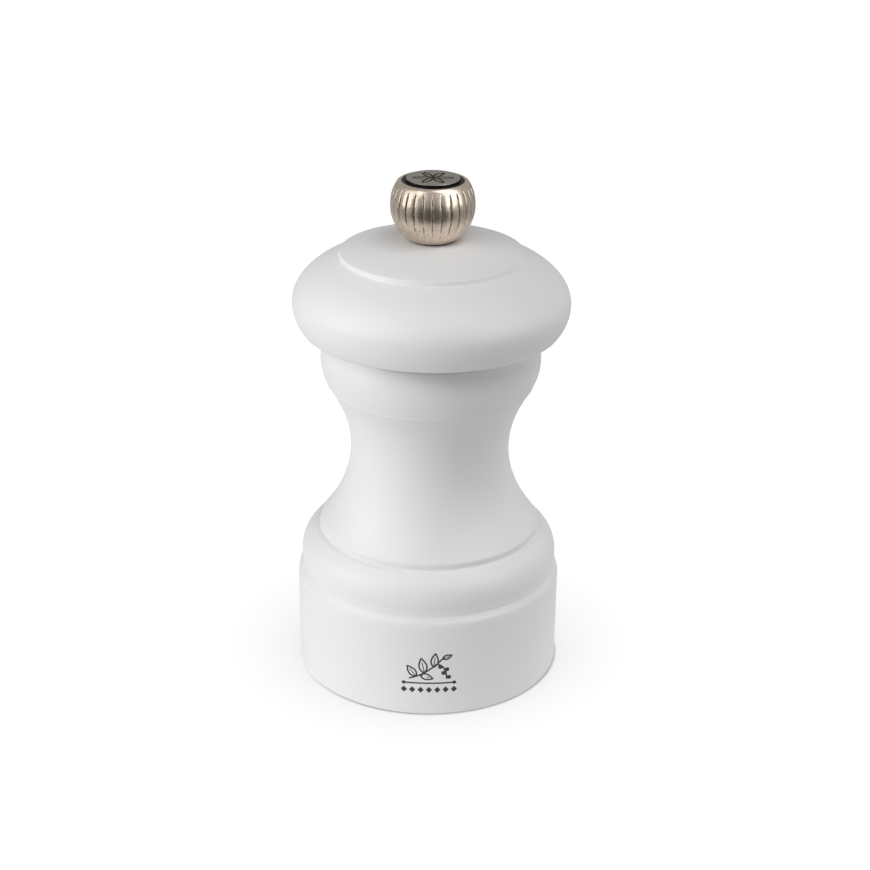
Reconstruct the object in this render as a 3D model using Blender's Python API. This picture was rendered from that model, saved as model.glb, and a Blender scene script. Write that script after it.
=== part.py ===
"""Pepper mill: turned wooden body and head, fluted metal knob and steel grinding mechanism.

The mill stands on z = 0 with its axis on +Z. Every length below is in metres, written as
millimetres times MM.
"""

from math import atan2, cos, hypot, pi, radians, sin, sqrt

import bmesh
import bpy

MM = 0.001
GAP = 0.3 * MM                    # clearance between pieces that touch on the real mill

TURN_STEPS = 48                   # facets round a large turned piece
SMALL_STEPS = 24                  # facets round a small turned piece

# Body, from the foot up
DRUM_RADIUS = 26.1 * MM
DRUM_TOP = 20.5 * MM
DRUM_GROOVE = (25.1 * MM, 21.6 * MM)
SHOULDER_RADIUS = 25.35 * MM
SHOULDER_BASE = 23.5 * MM
SHOULDER_ROUND = 6.12 * MM
SHOULDER_GROOVE = (21.3 * MM, 29.5 * MM)
WAIST_RADIUS = 15.5 * MM
WAIST_HEIGHT = 46.0 * MM
WAIST_CURVE = 20.3 * MM           # radius of the hollow at its narrowest
HOLLOW_BOTTOM = 30.8 * MM
HOLLOW_TOP = 59.4 * MM
NECK_GROOVE = (19.75 * MM, 59.9 * MM)
NECK_RADIUS = 21.25 * MM
NECK_WIDEST = 64.6 * MM
NECK_BEAD = (5.0 * MM, 7.2 * MM)  # half-width and half-height of the rounded bead
NECK_EDGE = 19.2 * MM
NECK_TOP = 70.5 * MM

# Hollow inside the body
HOPPER_RADIUS = 11.4 * MM
HOPPER_BOTTOM = 27.6 * MM
SOCKET_RADIUS = 14.6 * MM
SOCKET_TOP = 25.0 * MM
SOCKET_BOTTOM = 7.0 * MM
OUTLET_RADIUS = 19.5 * MM
MOUTH_BEVEL = 0.8 * MM

# Head
HEAD_BOTTOM = NECK_TOP + GAP
HEAD_RADIUS = 26.55 * MM
HEAD_WIDEST = 76.0 * MM
LIP_ROUND = 8.05 * MM
LIP_EDGE = 24.4 * MM
CROWN_WIDTH = 27.3 * MM
CROWN_HEIGHT = 12.0 * MM
CROWN_EDGE = (17.9 * MM, 84.8 * MM)
DOME_EDGE = (17.3 * MM, 85.8 * MM)
DOME_SEAT = (5.0 * MM, 88.05 * MM)
DOME_CURVE = 36.0 * MM
SHAFT_BORE = 3.9 * MM
SPIGOT_RADIUS = HOPPER_RADIUS - GAP
SPIGOT_BOTTOM = 60.0 * MM

# Knob
KNOB_CENTRE = 94.9 * MM
KNOB_RADIUS = 8.05 * MM
KNOB_BOTTOM = 88.35 * MM
KNOB_RIM = (6.35 * MM, 99.55 * MM)
KNOB_FLUTES = 28
FLUTE_DEPTH = 0.3 * MM
FLUTE_SPAN = (89.6 * MM, 98.7 * MM)
CUP_RADIUS = 6.05 * MM
CUP_FLOOR = 98.4 * MM
CUP_HOLE = 1.5 * MM
INSERT_BOTTOM = 88.85 * MM
INSERT_POCKET_TOP = 97.6 * MM
INSERT_RADIUS = 3.9 * MM
INSERT_BORE = 2.7 * MM
RING_TOP = 99.45 * MM
DISC_RADIUS = 5.05 * MM
DISC_BEVEL = 0.25 * MM
KNOB_WASHER_RADII = (3.0 * MM, 3.9 * MM)
KNOB_WASHER_SPAN = (88.3 * MM, 88.6 * MM)
MILL_HEIGHT = 100.0 * MM

# Shaft, springing and grinding set
SHAFT_WIDTH = 5.0 * MM
THREAD_RADIUS = 2.4 * MM
STUB_RADIUS = 1.9 * MM
SHAFT_SHOULDER = 8.2 * MM
SQUARE_TOP = 86.3 * MM
SHAFT_TOP = 95.6 * MM
SHAFT_BOTTOM = 4.9 * MM
KEY_WIDTH = SHAFT_WIDTH + 2 * GAP

ROTOR_BOTTOM = 8.2 * MM
ROTOR_TOP = 16.5 * MM
ROTOR_WIDE = 10.2 * MM
ROTOR_NARROW = 6.6 * MM
ROTOR_TEETH = 12
TOOTH_DEPTH = 0.9 * MM
TOOTH_TWIST = radians(30)

STATOR_RADIUS = SOCKET_RADIUS - GAP
STATOR_BOTTOM = SOCKET_BOTTOM + GAP
STATOR_THROAT = 14.0 * MM
STATOR_TOP = 17.0 * MM
STATOR_FUNNEL = 12.6 * MM
STATOR_TEETH = 24
GRIND_GAP = 1.0 * MM              # between the tooth tips at the coarsest setting

BRACKET_WIDTH = 6.0 * MM
BRACKET_THICKNESS = 1.2 * MM
BRACKET_REACH = 13.9 * MM
BRACKET_TOP = 24.6 * MM
BRACKET_HOLE = 4.0 * MM

SPRING_RADIUS = 4.75 * MM
SPRING_WIRE = 0.45 * MM
SPRING_TURNS = 3.5
SEAT_TOP = BRACKET_TOP - BRACKET_THICKNESS - GAP
SEAT_THICKNESS = 0.6 * MM

# Plates and screws
PLATE_THICKNESS = 0.8 * MM
FIXING_PLATE_RADII = (11.9 * MM, 19.0 * MM)
FIXING_CIRCLE = 17.2 * MM
DRIVER_PLATE_RADIUS = 9.6 * MM
DRIVER_CIRCLE = 7.0 * MM
SCREW_COUNT = 3

CORNER = 0.6 * MM


# --- outlines: lists of (radius, height) points ---

def arc(centre, radii, start, end, steps):
    """Points on an ellipse about centre, from start to end degrees."""
    points = []
    for step in range(steps + 1):
        angle = radians(start + (end - start) * step / steps)
        points.append((centre[0] + radii[0] * cos(angle), centre[1] + radii[1] * sin(angle)))
    return points


def bow(first, last, radius, steps):
    """Points from first to last on a circle of the given radius that bulges outwards."""
    half = hypot(last[0] - first[0], last[1] - first[1]) / 2
    rise = sqrt(radius * radius - half * half)
    middle = ((first[0] + last[0]) / 2, (first[1] + last[1]) / 2)
    along = ((last[0] - first[0]) / (2 * half), (last[1] - first[1]) / (2 * half))
    centre = (middle[0] - along[1] * rise, middle[1] + along[0] * rise)
    start = atan2(first[1] - centre[1], first[0] - centre[0])
    end = atan2(last[1] - centre[1], last[0] - centre[0])
    points = []
    for step in range(steps + 1):
        angle = start + (end - start) * step / steps
        points.append((centre[0] + radius * cos(angle), centre[1] + radius * sin(angle)))
    return points


def hollow(bottom, top, steps):
    """The waist's hollow: radius grows with the square of the distance from the waist."""
    points = []
    for step in range(steps + 1):
        height = bottom + (top - bottom) * step / steps
        offset = height - WAIST_HEIGHT
        points.append((WAIST_RADIUS + offset * offset / (2 * WAIST_CURVE), height))
    return points


def body_outside():
    foot = arc((DRUM_RADIUS - CORNER, CORNER), (CORNER, CORNER), -90, 0, 3)
    crest = arc((DRUM_RADIUS - CORNER, DRUM_TOP - CORNER), (CORNER, CORNER), 0, 65, 3)
    shoulder_centre = (SHOULDER_RADIUS - SHOULDER_ROUND, SHOULDER_BASE)
    shoulder = arc(shoulder_centre, (SHOULDER_ROUND, SHOULDER_ROUND), 0, 56, 6)
    neck = arc((NECK_RADIUS - NECK_BEAD[0], NECK_WIDEST), NECK_BEAD, -36, 52, 7)
    return (foot + crest + [DRUM_GROOVE, (SHOULDER_RADIUS, 22.5 * MM)] + shoulder
            + [SHOULDER_GROOVE] + hollow(HOLLOW_BOTTOM, HOLLOW_TOP, 12) + [NECK_GROOVE] + neck
            + [(NECK_EDGE, NECK_TOP)])


def body_inside():
    return [(HOPPER_RADIUS + MOUTH_BEVEL, NECK_TOP), (HOPPER_RADIUS, NECK_TOP - MOUTH_BEVEL),
            (HOPPER_RADIUS, HOPPER_BOTTOM), (SOCKET_RADIUS, SOCKET_TOP),
            (SOCKET_RADIUS, SOCKET_BOTTOM), (OUTLET_RADIUS, SOCKET_BOTTOM), (OUTLET_RADIUS, 0.0)]


def head_outside():
    lip_centre = (HEAD_RADIUS - LIP_ROUND, HEAD_WIDEST)
    lip = arc(lip_centre, (LIP_ROUND, LIP_ROUND), -37, 0, 5)
    crown_centre = (HEAD_RADIUS - CROWN_WIDTH, HEAD_WIDEST)
    crown = arc(crown_centre, (CROWN_WIDTH, CROWN_HEIGHT), 0, 46, 8)[1:]
    dome = bow(DOME_EDGE, DOME_SEAT, DOME_CURVE, 5)
    return [(LIP_EDGE, HEAD_BOTTOM)] + lip + crown + [CROWN_EDGE] + dome


def head_inside():
    return [(SHAFT_BORE, DOME_SEAT[1]), (SHAFT_BORE, SPIGOT_BOTTOM),
            (SPIGOT_RADIUS - CORNER, SPIGOT_BOTTOM), (SPIGOT_RADIUS, SPIGOT_BOTTOM + CORNER),
            (SPIGOT_RADIUS, HEAD_BOTTOM)]


def knob_radius(height):
    return sqrt(KNOB_RADIUS * KNOB_RADIUS - (height - KNOB_CENTRE) ** 2)


def rotor_radius(height):
    share = (height - ROTOR_BOTTOM) / (ROTOR_TOP - ROTOR_BOTTOM)
    return ROTOR_WIDE + (ROTOR_NARROW - ROTOR_WIDE) * share


def stator_radius(height):
    """Inner radius of the ring: a cone that matches the rotor, then a funnel."""
    if height <= STATOR_THROAT:
        return rotor_radius(height) + GRIND_GAP
    throat = rotor_radius(STATOR_THROAT) + GRIND_GAP
    share = (height - STATOR_THROAT) / (STATOR_TOP - STATOR_THROAT)
    return throat + (STATOR_FUNNEL - throat) * share


# --- meshes ---

def add_object(name, mesh, material, sharp_angle=radians(35)):
    mesh.materials.append(material)
    mesh.shade_smooth()
    mesh.set_sharp_from_angle(angle=sharp_angle)
    piece = bpy.data.objects.new(name, mesh)
    bpy.context.collection.objects.link(piece)
    return piece


def finish_mesh(name, bm):
    bmesh.ops.recalc_face_normals(bm, faces=bm.faces)
    mesh = bpy.data.meshes.new(name)
    bm.to_mesh(mesh)
    bm.free()
    return mesh


def ring_mesh(name, outline, steps, radius_at=None, closed=True):
    """Turn an outline about +Z. radius_at may vary a radius with its point and angle.

    A closed outline makes a ring; an open one is capped flat at both ends.
    """
    bm = bmesh.new()
    rows = []
    for index, (radius, height) in enumerate(outline):
        row = []
        for step in range(steps):
            angle = 2 * pi * step / steps
            reach = radius_at(index, step) if radius_at else radius
            row.append(bm.verts.new((reach * cos(angle), reach * sin(angle), height)))
        rows.append(row)
    pairs = list(zip(rows, rows[1:]))
    if closed:
        pairs.append((rows[-1], rows[0]))
    else:
        bm.faces.new(rows[0])
        bm.faces.new(rows[-1])
    for lower, upper in pairs:
        for step in range(steps):
            after = (step + 1) % steps
            bm.faces.new((lower[step], lower[after], upper[after], upper[step]))
    return finish_mesh(name, bm)


def washer_outline(inner, outer, bottom, top):
    return [(inner, bottom), (outer, bottom), (outer, top), (inner, top)]


def prism_mesh(name, corners, bottom, top):
    """Upright prism on a flat polygon given as (x, y) corners."""
    bm = bmesh.new()
    floor = bm.faces.new([bm.verts.new((x, y, bottom)) for x, y in corners])
    raised = bmesh.ops.extrude_face_region(bm, geom=[floor])["geom"]
    verts = [item for item in raised if isinstance(item, bmesh.types.BMVert)]
    bmesh.ops.translate(bm, verts=verts, vec=(0, 0, top - bottom))
    return finish_mesh(name, bm)


def polygon(radius, sides, turn=0.0, centre=(0.0, 0.0)):
    corners = []
    for side in range(sides):
        angle = 2 * pi * side / sides + turn
        corners.append((centre[0] + radius * cos(angle), centre[1] + radius * sin(angle)))
    return corners


def square(width, centre=(0.0, 0.0)):
    return polygon(width / sqrt(2), 4, pi / 4, centre)


def cut(piece, name, mesh):
    """Cut a wire-drawn cutter out of a piece."""
    cutter = bpy.data.objects.new(name, mesh)
    bpy.context.collection.objects.link(cutter)
    cutter.hide_render = True
    cutter.display_type = "WIRE"
    difference = piece.modifiers.new(name, "BOOLEAN")
    difference.operation = "DIFFERENCE"
    difference.solver = "EXACT"
    difference.object = cutter


def screw_places(circle):
    """Centres of the screws, evenly spread on a circle, clear of the bracket's legs."""
    return polygon(circle, SCREW_COUNT, pi / 2)


def cut_screw_holes(piece, circle, hole_radius, bottom, top):
    for number, place in enumerate(screw_places(circle), 1):
        name = f"{piece.name}_hole_{number}"
        sides = polygon(hole_radius, 12, pi / 12, place)
        cut(piece, name, prism_mesh(name, sides, bottom, top))


# --- materials ---

def make_material(name, colour, roughness, metallic=0.0):
    material = bpy.data.materials.new(name)
    material.use_nodes = True
    shader = material.node_tree.nodes["Principled BSDF"]
    shader.inputs["Base Color"].default_value = (*colour, 1.0)
    shader.inputs["Roughness"].default_value = roughness
    shader.inputs["Metallic"].default_value = metallic
    return material


def white_lacquer(name):
    return make_material(name, (0.82, 0.82, 0.82), 0.38)


def nickel(name):
    return make_material(name, (0.66, 0.60, 0.53), 0.3, 1.0)


def steel(name):
    return make_material(name, (0.56, 0.57, 0.58), 0.35, 1.0)


def hardened_steel(name):
    return make_material(name, (0.24, 0.24, 0.25), 0.45, 1.0)


# --- wooden pieces ---

def make_body():
    mesh = ring_mesh("body", body_outside() + body_inside(), TURN_STEPS)
    body = add_object("body", mesh, white_lacquer("body_lacquer"))
    cut_screw_holes(body, FIXING_CIRCLE, 1.3 * MM, SOCKET_BOTTOM - 1.0 * MM, 15.0 * MM)


def make_head():
    mesh = ring_mesh("head", head_outside() + head_inside(), TURN_STEPS)
    head = add_object("head", mesh, white_lacquer("head_lacquer"))
    cut_screw_holes(head, DRIVER_CIRCLE, 1.0 * MM, SPIGOT_BOTTOM - 1.0 * MM, 65.5 * MM)


# --- knob ---

def knob_outline():
    """Rings from the foot up the fluted ball, over the rim and down the cup, then the pocket."""
    low, high = FLUTE_SPAN
    heights = [KNOB_BOTTOM, low]
    heights += [low + (high - low) * share for share in (0.08, 0.25, 0.5, 0.75, 0.92)]
    heights += [high]
    ball = [(knob_radius(height), height) for height in heights]
    pocket = INSERT_RADIUS + GAP
    return ball + [KNOB_RIM, (CUP_RADIUS, KNOB_RIM[1]), (CUP_RADIUS, CUP_FLOOR),
                   (CUP_HOLE, CUP_FLOOR), (CUP_HOLE, INSERT_POCKET_TOP),
                   (pocket, INSERT_POCKET_TOP), (pocket, KNOB_BOTTOM)]


def make_knob():
    outline = knob_outline()
    low, high = FLUTE_SPAN

    def fluted_radius(index, step):
        radius, height = outline[index]
        in_flute = low < height < high and radius > CUP_RADIUS
        return radius - FLUTE_DEPTH if in_flute and step % 2 else radius

    mesh = ring_mesh("knob", outline, 2 * KNOB_FLUTES, fluted_radius)
    add_object("knob", mesh, nickel("knob_nickel"))


def make_knob_fittings():
    bush = washer_outline(INSERT_BORE, INSERT_RADIUS, INSERT_BOTTOM, INSERT_POCKET_TOP - GAP)
    brass = make_material("insert_brass", (0.68, 0.52, 0.25), 0.35, 1.0)
    add_object("knob_insert", ring_mesh("knob_insert", bush, SMALL_STEPS), brass)

    inlay = washer_outline(DISC_RADIUS + GAP, CUP_RADIUS - GAP, CUP_FLOOR + GAP, RING_TOP)
    black = make_material("ring_black", (0.02, 0.02, 0.02), 0.4)
    add_object("knob_ring", ring_mesh("knob_ring", inlay, TURN_STEPS), black)

    disc = [(DISC_RADIUS, CUP_FLOOR + GAP), (DISC_RADIUS, MILL_HEIGHT - DISC_BEVEL),
            (DISC_RADIUS - DISC_BEVEL, MILL_HEIGHT)]
    disc_mesh = ring_mesh("knob_disc", disc, TURN_STEPS, closed=False)
    add_object("knob_disc", disc_mesh, nickel("disc_nickel"))

    seat = washer_outline(*KNOB_WASHER_RADII, *KNOB_WASHER_SPAN)
    add_object("knob_washer", ring_mesh("knob_washer", seat, SMALL_STEPS), steel("washer_steel"))


# --- shaft and what rides on it ---

def make_drive_shaft():
    """Square shaft with a round thread at the top and a round stub for the rotor nut."""
    bm = bmesh.new()
    square_radius = SHAFT_WIDTH / sqrt(2)
    rows = []
    for height, corners in (
        (SHAFT_BOTTOM, polygon(STUB_RADIUS, 16, pi / 4)),
        (SHAFT_SHOULDER, polygon(STUB_RADIUS, 16, pi / 4)),
        (SHAFT_SHOULDER, square_points(square_radius)),
        (SQUARE_TOP, square_points(square_radius)),
        (SQUARE_TOP, polygon(THREAD_RADIUS, 16, pi / 4)),
        (SHAFT_TOP - 0.5 * MM, polygon(THREAD_RADIUS, 16, pi / 4)),
        (SHAFT_TOP, polygon(THREAD_RADIUS - 0.5 * MM, 16, pi / 4)),
    ):
        rows.append([bm.verts.new((x, y, height)) for x, y in corners])
    bm.faces.new(rows[0])
    bm.faces.new(rows[-1])
    for lower, upper in zip(rows, rows[1:]):
        for step in range(16):
            after = (step + 1) % 16
            bm.faces.new((lower[step], lower[after], upper[after], upper[step]))
    add_object("drive_shaft", finish_mesh("drive_shaft", bm), steel("shaft_steel"))


def square_points(corner_radius):
    """Sixteen points round a square, four to a side, starting at a corner."""
    corners = polygon(corner_radius, 4, pi / 4)
    points = []
    for index, (x, y) in enumerate(corners):
        next_x, next_y = corners[(index + 1) % 4]
        for quarter in range(4):
            share = quarter / 4
            points.append((x + (next_x - x) * share, y + (next_y - y) * share))
    return points


def make_rotor():
    """Cone with slanting teeth and a square hole, wide end down."""
    levels = 6
    steps = ROTOR_TEETH * 4
    bm = bmesh.new()
    rows = []
    for level in range(levels + 1):
        height = ROTOR_BOTTOM + (ROTOR_TOP - ROTOR_BOTTOM) * level / levels
        row = []
        for step in range(steps):
            angle = 2 * pi * step / steps + TOOTH_TWIST * level / levels
            depth = TOOTH_DEPTH * (0.0, 0.33, 0.66, 1.0)[step % 4]
            radius = rotor_radius(height) - depth
            row.append(bm.verts.new((radius * cos(angle), radius * sin(angle), height)))
        rows.append(row)
    bm.faces.new(rows[0])
    bm.faces.new(rows[-1])
    for lower, upper in zip(rows, rows[1:]):
        for step in range(steps):
            after = (step + 1) % steps
            bm.faces.new((lower[step], lower[after], upper[after], upper[step]))
    rotor = add_object("rotor", finish_mesh("rotor", bm), hardened_steel("rotor_steel"))
    hole = prism_mesh("rotor_hole", square(KEY_WIDTH), ROTOR_BOTTOM - MM, ROTOR_TOP + MM)
    cut(rotor, "rotor_hole", hole)


def make_rotor_fastening():
    washer_top = ROTOR_BOTTOM - GAP
    outline = washer_outline(STUB_RADIUS + GAP, 5.5 * MM, washer_top - 0.6 * MM, washer_top)
    mesh = ring_mesh("rotor_washer", outline, SMALL_STEPS)
    add_object("rotor_washer", mesh, steel("rotor_washer_steel"))

    nut_top = washer_top - 0.6 * MM - GAP
    nut_mesh = prism_mesh("rotor_nut", polygon(3.5 * MM, 6), nut_top - 1.8 * MM, nut_top)
    nut = add_object("rotor_nut", nut_mesh, steel("nut_steel"))
    bore = prism_mesh("nut_bore", polygon(STUB_RADIUS + GAP, 16), nut_top - 3 * MM, nut_top + MM)
    cut(nut, "nut_bore", bore)


def make_keyed_washer(name, radius, bottom, top):
    """Round washer with a square hole that keys it to the shaft."""
    mesh = prism_mesh(name, polygon(radius, SMALL_STEPS), bottom, top)
    washer = add_object(name, mesh, steel(f"{name}_steel"))
    hole_name = f"{name}_hole"
    cut(washer, hole_name, prism_mesh(hole_name, square(KEY_WIDTH), bottom - MM, top + MM))


def make_spring():
    """Open coil between the rotor and the spring seat."""
    bottom = ROTOR_TOP + GAP + SPRING_WIRE
    top = SEAT_TOP - SEAT_THICKNESS - GAP - SPRING_WIRE
    steps = int(SPRING_TURNS * 16)
    curve = bpy.data.curves.new("spring", "CURVE")
    curve.dimensions = "3D"
    curve.bevel_depth = SPRING_WIRE
    curve.bevel_resolution = 1
    curve.use_fill_caps = True
    line = curve.splines.new("POLY")
    line.points.add(steps)
    for step, point in enumerate(line.points):
        share = step / steps
        angle = 2 * pi * SPRING_TURNS * share
        rise = bottom + (top - bottom) * share
        point.co = (SPRING_RADIUS * cos(angle), SPRING_RADIUS * sin(angle), rise, 1.0)
    curve.materials.append(steel("spring_steel"))
    spring = bpy.data.objects.new("spring", curve)
    bpy.context.collection.objects.link(spring)


# --- fixed pieces of the mechanism ---

def make_stator():
    """Ring with slanting teeth inside, and a funnel above them."""
    levels = 5
    heights = [STATOR_BOTTOM + (STATOR_THROAT - STATOR_BOTTOM) * n / levels
               for n in range(levels + 1)]
    inside = [(stator_radius(height), height) for height in heights + [STATOR_TOP]]
    outline = inside + [(STATOR_RADIUS, STATOR_TOP), (STATOR_RADIUS, STATOR_BOTTOM)]

    def toothed_radius(index, step):
        radius = outline[index][0]
        in_teeth = index <= levels
        return radius + TOOTH_DEPTH * 0.7 if in_teeth and (step + index) % 2 else radius

    mesh = ring_mesh("stator", outline, 2 * STATOR_TEETH, toothed_radius)
    add_object("stator", mesh, hardened_steel("stator_steel"))


def make_guide_bracket():
    """Strip bent into an arch that stands on the stator; the shaft runs through its bridge."""
    foot = STATOR_TOP + GAP
    inner = BRACKET_REACH - BRACKET_THICKNESS
    under = BRACKET_TOP - BRACKET_THICKNESS
    profile = [(-BRACKET_REACH, foot), (-inner, foot), (-inner, under), (inner, under),
               (inner, foot), (BRACKET_REACH, foot), (BRACKET_REACH, BRACKET_TOP - MM),
               (BRACKET_REACH - MM, BRACKET_TOP), (MM - BRACKET_REACH, BRACKET_TOP),
               (-BRACKET_REACH, BRACKET_TOP - MM)]
    bm = bmesh.new()
    side = bm.faces.new([bm.verts.new((x, -BRACKET_WIDTH / 2, z)) for x, z in profile])
    raised = bmesh.ops.extrude_face_region(bm, geom=[side])["geom"]
    verts = [item for item in raised if isinstance(item, bmesh.types.BMVert)]
    bmesh.ops.translate(bm, verts=verts, vec=(0, BRACKET_WIDTH, 0))
    bulge = prism_mesh("bracket_bulge", polygon(5.6 * MM, SMALL_STEPS), under, BRACKET_TOP)
    bracket = add_object("guide_bracket", finish_mesh("guide_bracket", bm),
                         steel("bracket_steel"))
    eye = bpy.data.objects.new("bracket_eye", bulge)
    bpy.context.collection.objects.link(eye)
    eye.hide_render = True
    eye.display_type = "WIRE"
    union = bracket.modifiers.new("bracket_eye", "BOOLEAN")
    union.operation = "UNION"
    union.solver = "EXACT"
    union.object = eye
    hole = prism_mesh("bracket_hole", polygon(BRACKET_HOLE, SMALL_STEPS),
                      under - MM, BRACKET_TOP + MM)
    cut(bracket, "bracket_hole", hole)


def make_fixing_plate():
    top = SOCKET_BOTTOM - GAP
    inner, outer = FIXING_PLATE_RADII
    outline = washer_outline(inner, outer, top - PLATE_THICKNESS, top)
    plate = add_object("fixing_plate", ring_mesh("fixing_plate", outline, TURN_STEPS),
                       steel("fixing_plate_steel"))
    cut_screw_holes(plate, FIXING_CIRCLE, 1.3 * MM, top - 2 * MM, top + MM)


def make_driver_plate():
    top = SPIGOT_BOTTOM - GAP
    mesh = prism_mesh("driver_plate", polygon(DRIVER_PLATE_RADIUS, SMALL_STEPS),
                      top - PLATE_THICKNESS, top)
    plate = add_object("driver_plate", mesh, steel("driver_plate_steel"))
    hole = prism_mesh("driver_hole", square(KEY_WIDTH), top - 2 * MM, top + MM)
    cut(plate, "driver_hole", hole)
    cut_screw_holes(plate, DRIVER_CIRCLE, 1.0 * MM, top - 2 * MM, top + MM)


def make_screws(stem, circle, plate_bottom, head_size, shank_radius, shank_top):
    """Round-headed slotted screws that point up through a plate into the wood."""
    head_radius, head_height = head_size
    head_top = plate_bottom - GAP
    for number, (x, y) in enumerate(screw_places(circle), 1):
        name = f"{stem}_{number}"
        head_bottom = head_top - head_height
        outline = [(head_radius * 0.6, head_bottom), (head_radius, head_bottom + head_height / 2),
                   (head_radius, head_top), (shank_radius, head_top),
                   (shank_radius, shank_top - shank_radius), (shank_radius * 0.3, shank_top)]
        mesh = ring_mesh(name, outline, 12, closed=False)
        screw = add_object(name, mesh, steel(f"{name}_steel"))
        screw.location = (x, y, 0)
        slot_name = f"{name}_slot"
        half_slot = 0.25 * MM
        reach = head_radius * 1.5
        corners = [(x - reach, y - half_slot), (x + reach, y - half_slot),
                   (x + reach, y + half_slot), (x - reach, y + half_slot)]
        cut(screw, slot_name, prism_mesh(slot_name, corners, head_bottom - MM,
                                         head_bottom + head_height * 0.45))


def make_mill():
    make_body()
    make_head()
    make_knob()
    make_knob_fittings()
    make_drive_shaft()
    make_rotor()
    make_rotor_fastening()
    make_keyed_washer("spring_seat", 6.0 * MM, SEAT_TOP - SEAT_THICKNESS, SEAT_TOP)
    make_keyed_washer("shaft_stop_ring", 5.0 * MM, BRACKET_TOP + GAP, BRACKET_TOP + 0.9 * MM)
    make_spring()
    make_stator()
    make_guide_bracket()
    make_fixing_plate()
    make_driver_plate()
    make_screws("fixing_screw", FIXING_CIRCLE, SOCKET_BOTTOM - GAP - PLATE_THICKNESS,
                (1.9 * MM, 0.9 * MM), 1.0 * MM, 14.0 * MM)
    make_screws("driver_plate_screw", DRIVER_CIRCLE, SPIGOT_BOTTOM - GAP - PLATE_THICKNESS,
                (1.5 * MM, 0.8 * MM), 0.7 * MM, 64.5 * MM)


for leftover in list(bpy.data.objects):
    bpy.data.objects.remove(leftover)
make_mill()
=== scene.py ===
"""Looks of the pepper mill: white lacquered wood, an antique nickel knob and a steel burr set.

Lengths are in millimetres, and finish_mesh turns them into metres. Outlines are lists of
(radius, height) points; a third number in a corner is the radius that rounds it.
"""

from math import atan2, ceil, cos, exp, hypot, pi, radians, sin, sqrt, tan

import bmesh
import bpy
from mathutils import Matrix, Vector, noise


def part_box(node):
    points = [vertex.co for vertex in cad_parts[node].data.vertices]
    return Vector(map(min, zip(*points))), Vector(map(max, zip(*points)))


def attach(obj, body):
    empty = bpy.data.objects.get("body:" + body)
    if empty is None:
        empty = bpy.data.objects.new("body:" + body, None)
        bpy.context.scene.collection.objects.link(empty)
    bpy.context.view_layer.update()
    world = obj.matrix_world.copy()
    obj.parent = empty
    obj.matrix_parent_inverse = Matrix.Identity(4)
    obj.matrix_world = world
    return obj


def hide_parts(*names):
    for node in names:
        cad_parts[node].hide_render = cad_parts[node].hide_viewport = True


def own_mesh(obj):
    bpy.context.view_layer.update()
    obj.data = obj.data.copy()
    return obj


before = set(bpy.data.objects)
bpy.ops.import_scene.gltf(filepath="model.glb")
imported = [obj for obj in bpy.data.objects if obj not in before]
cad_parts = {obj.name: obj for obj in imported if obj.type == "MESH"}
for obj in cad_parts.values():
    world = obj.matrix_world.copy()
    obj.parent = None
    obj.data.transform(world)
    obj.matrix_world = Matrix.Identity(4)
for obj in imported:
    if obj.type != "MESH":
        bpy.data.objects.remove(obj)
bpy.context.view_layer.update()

MM = 0.001
FINE_STEPS = 288                  # facets round a large turned piece
MIDDLE_STEPS = 192                # facets round a plate or the knob's black ring
SMALL_STEPS = 96                  # facets round a small turned piece


def extent(node):
    """(outer radius, bottom, top) of a piece that stands on the mill's axis."""
    low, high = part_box(node)
    return high.x / MM, low.z / MM, high.z / MM


def middle(node):
    """(x, y) of the middle of a piece's box."""
    low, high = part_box(node)
    return (low.x + high.x) / 2 / MM, (low.y + high.y) / 2 / MM


DRUM_RADIUS, _, NECK_TOP = extent("body")
HEAD_RADIUS, SPIGOT_BOTTOM, HEAD_TOP = extent("head")
KNOB_RADIUS, KNOB_BOTTOM, KNOB_TOP = extent("knob")
DISC_RADIUS, DISC_BOTTOM, MILL_TOP = extent("knob_disc")

SCREWS = (1, 2, 3)
BASE_SCREW_HOLE = 1.3             # radius of the holes for the screws in the base
HEAD_SCREW_HOLE = 1.0             # and of those in the head
HOPPER_RADIUS = 11.4
SOCKET_RADIUS, SOCKET_BOTTOM, SOCKET_TOP = 14.6, 7.0, 25.0
OUTLET_RADIUS = 19.5
SHAFT_BORE = 3.9
ROTOR_NARROW = 6.6                # radius of the rotor's upper end
KEY_HALF = 2.8                    # half-width of the square holes that the shaft goes through
KEY_CORNER = 3.85                 # how far their corners reach from the axis
FLUTES = 28                       # grooves round the knob, and where they end
FLUTE_BOTTOM, FLUTE_TOP = 89.5, 98.8


# --- outlines ---

def arc(centre, radii, start, end, steps):
    """Points on an ellipse about centre, from start to end degrees."""
    points = []
    for step in range(steps + 1):
        angle = radians(start + (end - start) * step / steps)
        points.append((centre[0] + radii[0] * cos(angle), centre[1] + radii[1] * sin(angle)))
    return points


def bow(first, last, radius, steps):
    """Points from first to last on a circle of the given radius that bulges outwards."""
    half = hypot(last[0] - first[0], last[1] - first[1]) / 2
    rise = sqrt(radius * radius - half * half)
    along = ((last[0] - first[0]) / (2 * half), (last[1] - first[1]) / (2 * half))
    centre = ((first[0] + last[0]) / 2 - along[1] * rise,
              (first[1] + last[1]) / 2 + along[0] * rise)
    start = atan2(first[1] - centre[1], first[0] - centre[0])
    end = atan2(last[1] - centre[1], last[0] - centre[0])
    points = []
    for step in range(steps + 1):
        angle = start + (end - start) * step / steps
        points.append((centre[0] + radius * cos(angle), centre[1] + radius * sin(angle)))
    return points


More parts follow.
